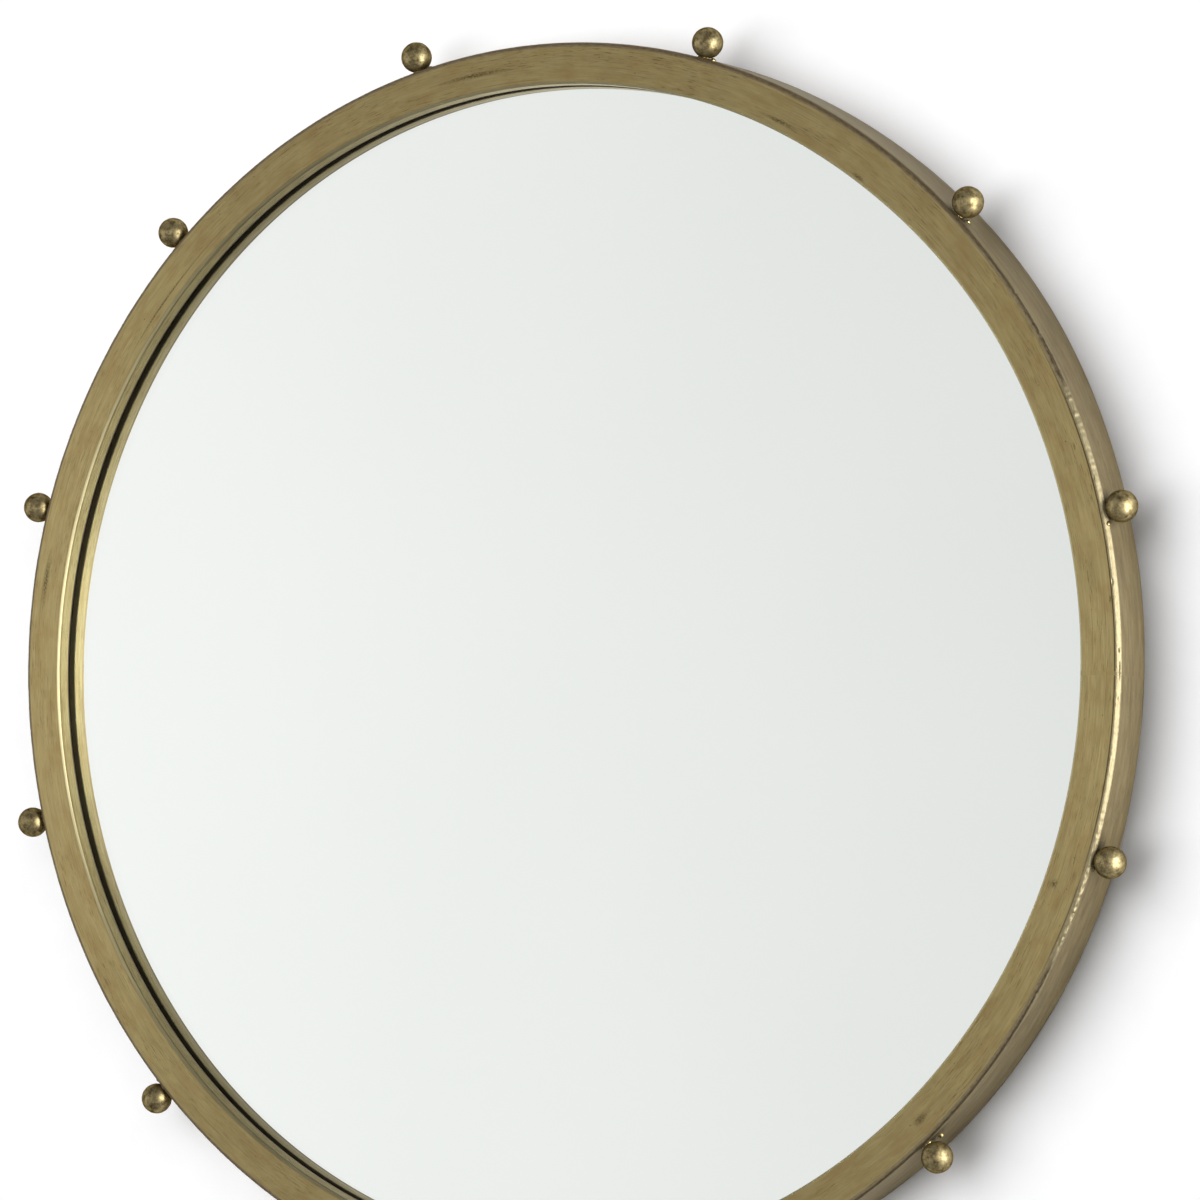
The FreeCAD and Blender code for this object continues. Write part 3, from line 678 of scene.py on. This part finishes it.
# fibres are about 0.3 mm wide: drawn at 1 mm, so that they show
board_fibre = add_node(board_tree, "TexNoise", {
    "Vector": board_place, "Scale": 1 / MM / FIBRE_SIZE, "Detail": 4.0, "Roughness": 0.7})
board_fleck = add_node(board_tree, "MapRange", {0: board_fibre, 1: 0.35, 2: 0.7, 3: 0.8, 4: 1.12})
board_brown = board_shader.inputs["Base Color"].links[0].from_socket
board_colour = add_node(board_tree, "VectorMath", {0: board_brown, "Scale": board_fleck}, operation="SCALE")
board_relief = add_node(board_tree, "Bump", {"Height": board_fibre, "Strength": 0.4, "Distance": 0.2 * MM})
fill(board_tree, board_shader, {"Base Color": board_colour, "Normal": board_relief})
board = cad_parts["backing_board"].data
board.materials.clear()
board.materials.append(fibreboard)


# Clip fixings: studs welded to the back of the face, each with a spacer tube, a flat clip over the
# board's edge and a nut. All are mild steel plated with zinc, bluish grey with a soft crystal bloom.
CLIP_COUNT = 8
STUD_CIRCLE = 369.5
STUD_RADIUS = 2.5
STUD_END = 34.0
STUD_POINT = 0.6
THREAD_START = 28.0
THREAD_STOP = 33.5
THREAD_RUNOUT = 0.3
THREAD_PITCH = 0.8
THREAD_DEPTH = 0.45
THREAD_STEP = 0.1
SPACER_RADIUS = 4.0
HOLE_RADIUS = 2.75
BOARD_BACK = 26.0
CLIP_BACK = 28.0
CLIP_OUTER = 377.0
CLIP_LENGTH = 26.0
CLIP_WIDTH = 12.0
CLIP_CORNER = 2.5
CORNER_STEPS = 6
NUT_FLATS = 8.0
NUT_BACK = 32.0
NUT_CHAMFER = math.radians(30)
NUT_FACE = NUT_FLATS / 2 - 0.15
EASED = 0.3


def zinc_plated(name, light, dark):
    """Steel plated with zinc, half bright, with the soft cloudy bloom of its crystals in two tones."""
    return mottled(name, 4.0, light, dark, (0.3, 0.7, 0.3, 0.5), {"Metallic": 1.0}, detail=4.0, ragged=0.65)


zinc_plate = zinc_plated("zinc_plated_steel", "C3C6C8", "9A9EA0")
# nuts, studs and screws come passivated, which turns the zinc a pale straw colour
zinc_straw = zinc_plated("zinc_plated_steel_passivated", "B9AC82", "978A62")


def add_turned(points, faces, rows, middle, outward, around, bored):
    """A closed piece turned about a line through the wall: rows give reach and depth in mm at each spin,
    from the front round its outside to the back, and on round its bore where it has one."""
    sideways = Vector((-outward.z, 0.0, outward.x))
    first = len(points)
    for row in rows:
        for step in range(around):
            spin = 2 * math.pi * step / around
            reach, depth = row(spin)
            heading = outward * math.cos(spin) + sideways * math.sin(spin)
            points.append((middle + heading * reach + Vector((0.0, FRONT + depth, 0.0))) * MM)
    join_rows(faces, first, len(rows), around, ends="looped" if bored else "capped")


def thread_row(depth):
    """A row across a screw thread, which winds one pitch each turn."""
    def row(spin):
        wind = (depth / THREAD_PITCH + spin / (2 * math.pi)) % 1.0
        return STUD_RADIUS - THREAD_DEPTH * abs(2 * wind - 1), depth
    return row


def nut_row(depth, inward):
    """A row along a hexagon's edge, where the crown's chamfer cuts its points back."""
    def row(spin):
        off = (spin + math.pi / 6) % (math.pi / 3) - math.pi / 6
        reach = NUT_FLATS / 2 / math.cos(off)
        return reach, depth + inward * (reach - NUT_FACE) * math.tan(NUT_CHAMFER)
    return row


def clip_row(inset, depth):
    """A row along the edge of a flat clip with rounded corners, as it is seen from its hole."""
    outer = CLIP_OUTER - STUD_CIRCLE - CLIP_CORNER
    inner = CLIP_LENGTH - CLIP_OUTER + STUD_CIRCLE - CLIP_CORNER
    aside = CLIP_WIDTH / 2 - CLIP_CORNER

    def row(spin):
        reaches = []
        for sign_out, out in ((1, outer), (-1, inner)):
            for sign_aside in (1, -1):
                for step in range(CORNER_STEPS + 1):
                    tilt = math.pi / 2 * step / CORNER_STEPS
                    edge = out * math.cos(tilt) + aside * math.sin(tilt) + CLIP_CORNER
                    facing = (sign_out * math.cos(tilt) * math.cos(spin)
                              + sign_aside * math.sin(tilt) * math.sin(spin))
                    if facing > 0.01:
                        reaches.append((edge - inset) / facing)
        return min(reaches), depth
    return row


thread_count = round((THREAD_STOP - THREAD_START) / THREAD_STEP)
stud_rows = [all_round((STUD_RADIUS, BAR_THICKNESS)), all_round((STUD_RADIUS, THREAD_START - THREAD_RUNOUT))]
stud_rows += [thread_row(THREAD_START + THREAD_STEP * step) for step in range(thread_count + 1)]
stud_rows.append(all_round((STUD_RADIUS - STUD_POINT, STUD_END)))
spacer_line = [(HOLE_RADIUS, BAR_THICKNESS), (SPACER_RADIUS - EASED, BAR_THICKNESS),
               (SPACER_RADIUS, BAR_THICKNESS + EASED), (SPACER_RADIUS, BOARD_BACK - EASED),
               (SPACER_RADIUS - EASED, BOARD_BACK), (HOLE_RADIUS, BOARD_BACK)]
spacer_rows = [all_round(spot) for spot in spacer_line]
clip_rows = [all_round((HOLE_RADIUS, BOARD_BACK)), clip_row(EASED, BOARD_BACK),
             clip_row(0.0, BOARD_BACK + EASED), clip_row(0.0, CLIP_BACK - EASED),
             clip_row(EASED, CLIP_BACK), all_round((HOLE_RADIUS, CLIP_BACK))]
nut_rows = [all_round((STUD_RADIUS, CLIP_BACK)), all_round((NUT_FACE, CLIP_BACK)), nut_row(CLIP_BACK, 1),
            nut_row(NUT_BACK, -1), all_round((NUT_FACE, NUT_BACK)), all_round((STUD_RADIUS, NUT_BACK))]
for node_name, rows, around, bored, zinc in (("clip_studs", stud_rows, 32, False, zinc_straw),
                                             ("clip_spacers", spacer_rows, 48, True, zinc_plate),
                                             ("retaining_clips", clip_rows, 144, True, zinc_plate),
                                             ("clip_nuts", nut_rows, 72, True, zinc_straw)):
    points = []
    faces = []
    for place in range(CLIP_COUNT):
        angle = 2 * math.pi * (place + 0.5) / CLIP_COUNT
        outward = Vector((math.cos(angle), 0.0, math.sin(angle)))
        add_turned(points, faces, rows, outward * STUD_CIRCLE, outward, around, bored)
    fixing = show(node_name + "_plated", points, faces, "mirror", zinc, sharp=25)
    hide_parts(node_name)


# Hanger straps: a strip of zinc-plated steel for each hanging ring, flat on the board, its top end
# curled round the ring's bar and its lower corners rounded. Two wood screws hold each.
HANGER_SIDES = {"left": -200.0, "right": 200.0}
HANGER_HEIGHT = 180.0
HINGE_DEPTH = 29.9
STRAP_WIDTH = 16.0
STRAP_LENGTH = 55.0
STRAP_THICKNESS = 1.8
STRAP_CORNER = 4.0
STRAP_STEPS = 12
CURL_RADIUS = HINGE_DEPTH - BOARD_BACK - STRAP_THICKNESS / 2
CURL_STEPS = 30
CURL_SWEEP = 1.5 * math.pi
strap_edge = STRAP_THICKNESS / 2
# depth, height, the way across the thickness, and half the width
strap_line = []
for step in range(STRAP_STEPS + 1):
    rise = STRAP_CORNER * (1 - math.cos(math.pi / 2 * step / STRAP_STEPS))
    cut = STRAP_CORNER - math.sqrt(max(0.0, STRAP_CORNER ** 2 - (STRAP_CORNER - rise) ** 2))
    strap_line.append((BOARD_BACK + strap_edge, rise - STRAP_LENGTH, 1.0, 0.0, STRAP_WIDTH / 2 - cut))
for step in range(CURL_STEPS + 1):
    bent = CURL_SWEEP * step / CURL_STEPS
    strap_line.append((HINGE_DEPTH - CURL_RADIUS * math.cos(bent), CURL_RADIUS * math.sin(bent),
                       math.cos(bent), -math.sin(bent), STRAP_WIDTH / 2))
for side, across in HANGER_SIDES.items():
    points = []
    for depth, rise, to_back, to_top, half in strap_line:
        wide_in = half - EASED
        thick_in = strap_edge - EASED
        rim = [(-wide_in, strap_edge), (wide_in, strap_edge), (half, thick_in), (half, -thick_in),
               (wide_in, -strap_edge), (-wide_in, -strap_edge), (-half, -thick_in), (-half, thick_in)]
        for wide, thick in rim:
            points.append(Vector((across + wide, FRONT + depth + to_back * thick,
                                  HANGER_HEIGHT + rise + to_top * thick)) * MM)
    faces = []
    join_rows(faces, 0, len(strap_line), len(rim))
    strap = show(f"hanger_plate_{side}_curled", points, faces, "mirror", zinc_plate, sharp=40)
    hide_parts(f"hanger_plate_{side}")


# Hanger screws: countersunk wood screws with a low crown and a cross recess, driven through the straps
# into the board, each stopped at its own turn.
SCREW_RADIUS = 1.75
SCREW_HEAD = 3.05
SCREW_CROWN = 0.9
SCREW_SINK = 1.3
SCREW_LENGTH = 8.0
SCREW_TIP = 2.5
SCREW_POINT = 0.1
SCREW_AROUND = 96
FIRST_SCREW = 11.0
SCREW_SPACING = 28.0
RECESS_REACH = 1.7
RECESS_WIDTH = 0.42
RECESS_DEPTH = 0.7
CROWN_ROWS = 18
strap_back = BOARD_BACK + STRAP_THICKNESS
screw_end = strap_back - SCREW_LENGTH


def crown_row(share):
    """A row across a screw's crown, sunk where the cross recess is."""
    def row(spin):
        reach = SCREW_HEAD * share
        depth = strap_back + SCREW_CROWN * (1 - share ** 2)
        aside = min(abs(reach * math.cos(spin)), abs(reach * math.sin(spin)))
        if reach < RECESS_REACH and aside < RECESS_WIDTH:
            depth -= RECESS_DEPTH
        return reach, depth
    return row


screw_rows = [all_round((SCREW_POINT, screw_end)), all_round((SCREW_RADIUS, screw_end + SCREW_TIP)),
              all_round((SCREW_RADIUS, strap_back - SCREW_SINK))]
screw_rows += [crown_row(1 - step / CROWN_ROWS) for step in range(CROWN_ROWS)]
points = []
faces = []
for across in HANGER_SIDES.values():
    for step in (0, 1):
        spot = Vector((across, 0.0, HANGER_HEIGHT - FIRST_SCREW - step * SCREW_SPACING))
        turned = 0.5 + 1.1 * step + across / 300
        outward = Vector((math.cos(turned), 0.0, math.sin(turned)))
        add_turned(points, faces, screw_rows, spot, outward, SCREW_AROUND, False)
screws = show("hanger_screws_driven", points, faces, "mirror", zinc_straw, sharp=30)
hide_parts("hanger_screws")


# Hanging rings: steel wire bent to a D, its straight bar turning in the strap's curl. Each swings on
# its own, and hangs a little clear of the strap.
WIRE_RADIUS = 2.0
WIRE_AROUND = 24
RING_HALF = 13.0
RING_LEG = 7.0
RING_BEND = 4.0
RING_LEAN = math.radians(1.0)
BAR_PLACES = (0.0, 3.0, 6.0)
BEND_STEPS = 12
BOW_STEPS = 24
half_line = [(place, 0.0) for place in BAR_PLACES]
for step in range(BEND_STEPS + 1):
    bent = math.pi / 2 * step / BEND_STEPS
    half_line.append((RING_HALF - RING_BEND * (1 - math.sin(bent)), RING_BEND * (math.cos(bent) - 1)))
for step in range(BOW_STEPS + 1):
    bent = math.pi / 2 * step / BOW_STEPS
    half_line.append((RING_HALF * math.cos(bent), -RING_LEG - RING_HALF * math.sin(bent)))
wire_line = half_line + [(-across, rise) for across, rise in half_line[-2:0:-1]]
lean = Matrix.Rotation(RING_LEAN, 3, "X")
for side, across in HANGER_SIDES.items():
    points = []
    for place, (here_x, here_z) in enumerate(wire_line):
        next_x, next_z = wire_line[(place + 1) % len(wire_line)]
        last_x, last_z = wire_line[place - 1]
        outward = Vector((last_z - next_z, 0.0, next_x - last_x)).normalized()
        for step in range(WIRE_AROUND):
            spin = 2 * math.pi * step / WIRE_AROUND
            heading = outward * math.cos(spin) + wallward * math.sin(spin)
            spot = lean @ (Vector((here_x, 0.0, here_z)) + heading * WIRE_RADIUS)
            points.append((spot + Vector((across, FRONT + HINGE_DEPTH, HANGER_HEIGHT))) * MM)
    faces = []
    join_rows(faces, 0, len(wire_line), WIRE_AROUND, ends="looped", flipped=True)
    ring = show(f"hanger_ring_{side}_wire", points, faces, f"{side}_ring", zinc_plate)
    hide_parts(f"hanger_ring_{side}")


# Wall: the plain white painted wall that the mirror hangs on, open behind the mirror.
# Seen from behind it is not there, so that the mirror's back shows.
WALL_RADII = (0.3795, 0.5, 0.8, 3.0)
WALL_STEPS = 180
# matt emulsion paint: an even white with no shine
wall_finish = {"Specular IOR Level": 0.0}
wall_white = mottled("white_wall_paint", 20.0, "F7F7F8", "F3F3F4", 1.0, wall_finish, detail=3.0)
wall_tree = wall_white.node_tree
wall_paint = wall_tree.nodes["Principled BSDF"].outputs[0]
wall_behind = add_node(wall_tree, "NewGeometry", out="Backfacing")
wall_clear = add_node(wall_tree, "BsdfTransparent")
wall_sides = add_node(wall_tree, "MixShader", {0: wall_behind, 1: wall_paint, 2: wall_clear})
fill(wall_tree, wall_tree.nodes["Material Output"], {"Surface": wall_sides})
wall_points = []
for radius in WALL_RADII:
    for step in range(WALL_STEPS):
        angle = 2 * math.pi * step / WALL_STEPS
        wall_points.append((radius * math.cos(angle), 0.0, radius * math.sin(angle)))
wall_faces = []
join_rows(wall_faces, 0, len(WALL_RADII), WALL_STEPS, ends="open")
wall_mesh = bpy.data.meshes.new("wall")
wall_mesh.from_pydata(wall_points, [], wall_faces)
wall_mesh.materials.append(wall_white)
wall = bpy.data.objects.new("wall", wall_mesh)
bpy.context.scene.collection.objects.link(wall)


# Light: a studio that the glass mirrors, bright at the left front and beside the camera, dim above and
# below. A broad lamp from the left casts the shadow, a weaker one from the upper right softens it, one
# lights the back, and a tall soft box at the right gives the shine on edges and balls.
# heights are sines, bearings are degrees right of the wall's straight-out line
BRIGHT_HEIGHTS = (0.25, 0.62)
DIM_LIGHT = 0.38
CEILING_HEIGHT = 0.3
CEILING_LIGHT = 0.9
LEFT_BEARINGS = (-48, -14)
LEFT_LIGHT = 1.117
RIGHT_LIGHT = 0.757
MATT_SHARE = 0.02
BEHIND_FADE = 0.2
BEHIND_HEIGHTS = (-0.6, 0.5)
BEHIND_LOW_LIGHT = 0.3
BEHIND_HIGH_LIGHT = 1.05
GLOW_BEARING = 29
GLOW_SPREADS = (26, 8)
GLOW_HEIGHTS = (0.28, 0.08)
GLOW_GAIN = 0.6
SUN_DISTANCE = 3.0
# each sun's strength, spread in degrees, bearing and height in degrees, and whether glass passes it
SUNS = {"wall_lamp": (3.3, 66, -27, 9, False),
        "fill_lamp": (0.7, 50, 28, 28, False),
        "back_lamp": (1.1, 20, 150, 40, True)}
BOX_WIDTH = 0.42
BOX_HEIGHT = 1.24
BOX_WATTS = 31.0
BOX_BEARING = 72.7
BOX_DISTANCE = 1.414
world = bpy.data.worlds.new("studio")
bpy.context.scene.world = world
world.use_nodes = True
sky = world.node_tree
sky_way = add_node(sky, "TexCoord", out="Generated")
to_right, to_wall, to_top = add_node(sky, "SeparateXYZ", {0: sky_way}).node.outputs
sky_height = add_node(sky, "Math", {0: to_top}, operation="ABSOLUTE")
level = add_node(sky, "MapRange", {
    0: sky_height, 1: BRIGHT_HEIGHTS[0], 2: BRIGHT_HEIGHTS[1], 3: 1.0, 4: DIM_LIGHT},
    interpolation_type="SMOOTHSTEP")
overhead = add_node(sky, "MapRange", {0: to_top, 1: 0.0, 2: CEILING_HEIGHT, 3: 1.0, 4: CEILING_LIGHT})
level = add_node(sky, "Math", {0: level, 1: overhead}, operation="MULTIPLY")
to_fore = add_node(sky, "Math", {0: to_wall, 1: -1.0}, operation="MULTIPLY")
bearing = add_node(sky, "Math", {0: to_right, 1: to_fore}, operation="ARCTAN2")
from_left = add_node(sky, "MapRange", {
    0: bearing, 1: math.radians(LEFT_BEARINGS[0]), 2: math.radians(LEFT_BEARINGS[1]),
    3: LEFT_LIGHT, 4: RIGHT_LIGHT}, interpolation_type="SMOOTHSTEP")
studio = add_node(sky, "Math", {0: from_left, 1: level}, operation="MULTIPLY")
matt = add_node(sky, "Math", {0: studio, 1: MATT_SHARE}, operation="MULTIPLY")
behind = add_node(sky, "MapRange", {0: to_wall, 1: 0.0, 2: BEHIND_FADE})
from_above = add_node(sky, "MapRange", {
    0: to_top, 1: BEHIND_HEIGHTS[0], 2: BEHIND_HEIGHTS[1], 3: BEHIND_LOW_LIGHT, 4: BEHIND_HIGH_LIGHT})
matt = add_node(sky, "Mix", {0: behind, 2: matt, 3: from_above}, data_type="FLOAT")
studio = add_node(sky, "Mix", {0: behind, 2: studio, 3: from_above}, data_type="FLOAT")
aside = add_node(sky, "Math", {0: bearing, 1: math.radians(GLOW_BEARING)}, operation="SUBTRACT")
aside = add_node(sky, "Math", {0: aside}, operation="ABSOLUTE")
glow_width = add_node(sky, "MapRange", {
    0: aside, 1: math.radians(GLOW_SPREADS[0]), 2: math.radians(GLOW_SPREADS[1])})
glow_height = add_node(sky, "MapRange", {0: sky_height, 1: GLOW_HEIGHTS[0], 2: GLOW_HEIGHTS[1]})
glow = add_node(sky, "Math", {0: glow_width, 1: glow_height}, operation="MULTIPLY")
glow = add_node(sky, "Math", {0: glow, 1: GLOW_GAIN, 2: 1.0}, operation="MULTIPLY_ADD")
studio = add_node(sky, "Math", {0: studio, 1: glow}, operation="MULTIPLY")
# the camera sees plain white, shiny things see the studio, and matt ones get only a little of its light
sky_rays = add_node(sky, "LightPath").node.outputs
sky_seen = sky_rays["Is Camera Ray"]
backdrop = add_node(sky, "Mix", {0: sky_seen, 2: studio, 3: 1.0}, data_type="FLOAT")
for ray in ("Is Glossy Ray", "Is Transmission Ray"):
    sky_seen = add_node(sky, "Math", {0: sky_seen, 1: sky_rays[ray]}, operation="MAXIMUM")
sky_strength = add_node(sky, "Mix", {0: sky_seen, 2: matt, 3: backdrop}, data_type="FLOAT")
fill(sky, sky.nodes["Background"], {"Color": linear("FFFFFF"), "Strength": sky_strength})


def hang_lamp(lamp, bearing_degrees, height_degrees, distance):
    """A lamp hung at a bearing, height and distance from the mirror, facing it and out of sight."""
    around = math.radians(bearing_degrees)
    up = math.radians(height_degrees)
    way = Vector((math.sin(around) * math.cos(up), -math.cos(around) * math.cos(up), math.sin(up)))
    holder = bpy.data.objects.new(lamp.name, lamp)
    holder.location = way * distance
    holder.rotation_euler = (-way).to_track_quat("-Z", "Y").to_euler()
    bpy.context.scene.collection.objects.link(holder)
    holder.visible_camera = False
    return holder


for sun_name, (strength, spread, sun_bearing, sun_height, through_glass) in SUNS.items():
    sun = bpy.data.lights.new(sun_name, "SUN")
    sun.energy = strength
    sun.angle = math.radians(spread)
    sun_lamp = hang_lamp(sun, sun_bearing, sun_height, SUN_DISTANCE)
    sun_lamp.visible_glossy = False
    sun_lamp.visible_transmission = through_glass
soft_box = bpy.data.lights.new("soft_box", "AREA")
soft_box.shape = "RECTANGLE"
soft_box.size = BOX_WIDTH
soft_box.size_y = BOX_HEIGHT
soft_box.energy = BOX_WATTS
soft_box.use_nodes = True
box_tree = soft_box.node_tree
# it gives shine alone: the metal passes none of its light on to the wall
box_turns = add_node(box_tree, "LightPath", out="Diffuse Depth")
box_first = add_node(box_tree, "Math", {0: box_turns, 1: 0.5}, operation="LESS_THAN")
fill(box_tree, box_tree.nodes["Emission"], {"Strength": box_first})
box_lamp = hang_lamp(soft_box, BOX_BEARING, 0, BOX_DISTANCE)
box_lamp.visible_diffuse = False


# Camera: where the photograph was taken from, right of the mirror and level with it,
# turned to the left, tilted up a little and rolled by about a degree.
CAMERA_SPOT = (1.6556, -2.9543, -0.0485)
CAMERA_TURN = math.radians(29.003)
CAMERA_TILT = math.radians(90 + 1.538)
CAMERA_ROLL = math.radians(1.312)
camera_data = bpy.data.cameras.new("camera")
camera_data.sensor_width = 36.0
camera_data.lens = 165.44
camera_data.clip_end = 50.0
camera = bpy.data.objects.new("camera", camera_data)
turned = Matrix.Rotation(CAMERA_TURN, 4, "Z") @ Matrix.Rotation(CAMERA_TILT, 4, "X")
camera.matrix_world = Matrix.Translation(CAMERA_SPOT) @ turned @ Matrix.Rotation(CAMERA_ROLL, 4, "Z")
bpy.context.scene.collection.objects.link(camera)
bpy.context.scene.camera = camera
bpy.context.scene.view_settings.view_transform = "Standard"
